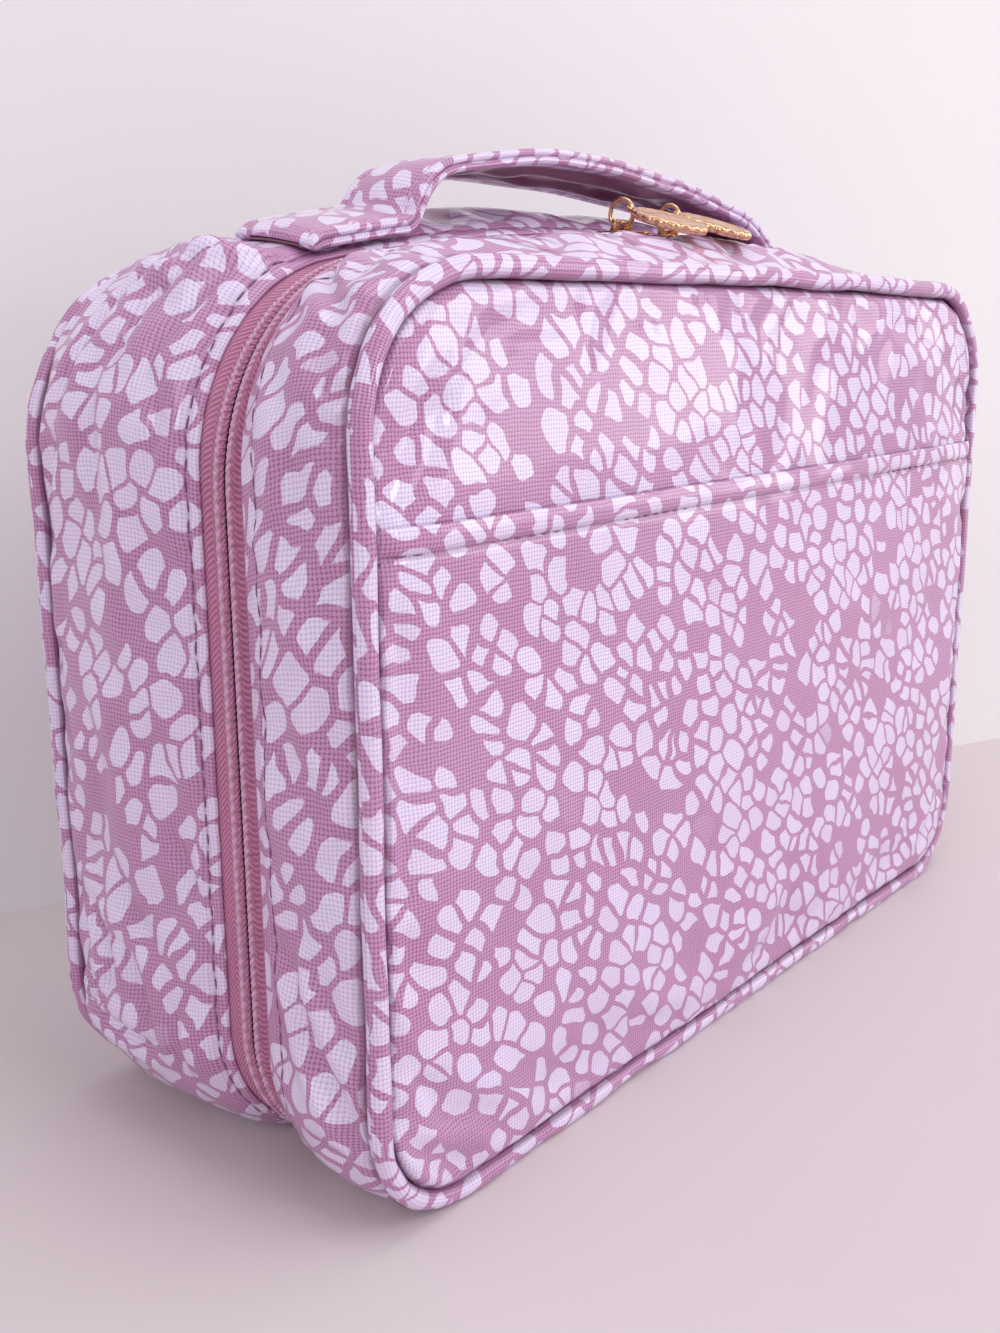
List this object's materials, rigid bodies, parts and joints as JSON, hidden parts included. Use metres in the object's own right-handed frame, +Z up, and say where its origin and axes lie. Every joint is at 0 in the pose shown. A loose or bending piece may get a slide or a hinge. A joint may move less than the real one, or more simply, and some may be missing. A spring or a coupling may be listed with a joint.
{
  "type": "soft makeup case",
  "caption": "Soft padded makeup case with a zip-around lid hinged at the bottom, a front slip pocket, a carrying strap and two zip sliders with round charms.",
  "frame": {"origin": "on the standing surface under the middle of the case's box", "axes": "+X along the width, the front panel faces -Y, +Z up"},
  "size_m": [0.272, 0.1, 0.211],
  "materials": {
    "canvas": "printed canvas under a clear gloss coat",
    "tape": "herringbone tape",
    "coil": "nylon coil",
    "lining": "plain woven lining",
    "backing": "plain woven backing",
    "foam": "open foam",
    "gold": "polished gold plate"
  },
  "bodies": {
    "case": {"back_panel": "canvas", "back_piping": "canvas", "rear_gusset": "canvas", "rear_gusset_foam": "foam", "back_panel_foam": "foam", "rear_gusset_lining": "lining", "back_panel_lining": "lining", "back_binding": "tape", "rear_zip_tape": "tape", "rear_zip_coil": "coil", "bottom_hinge": "canvas", "handle_strap": "canvas", "handle_core": "foam", "handle_backing": "backing"},
    "lid": {"front_panel": "canvas", "front_pocket": "canvas", "front_piping": "canvas", "front_gusset": "canvas", "front_gusset_foam": "foam", "front_panel_foam": "foam", "front_gusset_lining": "lining", "front_panel_lining": "lining", "front_binding": "tape", "front_zip_tape": "tape", "front_zip_coil": "coil"},
    "left_runner": {"left_slider": "gold"},
    "right_runner": {"right_slider": "gold"},
    "left_pull": {"left_ring": "gold", "left_charm": "gold"},
    "right_pull": {"right_ring": "gold", "right_charm": "gold"}
  },
  "joints": [
    {"name": "lid_hinge", "type": "hinge", "parent": "case", "child": "lid", "pos_m": [0, -0.013, 0], "axis": [1, 0, 0], "range_deg": [0, 170]},
    {"name": "left_slider_run", "type": "hinge", "parent": "case", "child": "left_runner", "pos_m": [0, -0.013, -0.41595], "axis": [0, -1, 0], "range_deg": [0, 5.8]},
    {"name": "right_slider_run", "type": "hinge", "parent": "case", "child": "right_runner", "pos_m": [0, -0.013, -0.41595], "axis": [0, 1, 0], "range_deg": [0, 5.4]},
    {"name": "left_pull_swing", "type": "hinge", "parent": "left_runner", "child": "left_pull", "pos_m": [-0.00806, -0.013, 0.19545], "axis": [-0.9999, 0, -0.0132], "range_deg": [0, 105]},
    {"name": "right_pull_swing", "type": "hinge", "parent": "right_runner", "child": "right_pull", "pos_m": [0.01209, -0.013, 0.19538], "axis": [-0.9998, 0, 0.0198], "range_deg": [0, 105]}
  ]
}
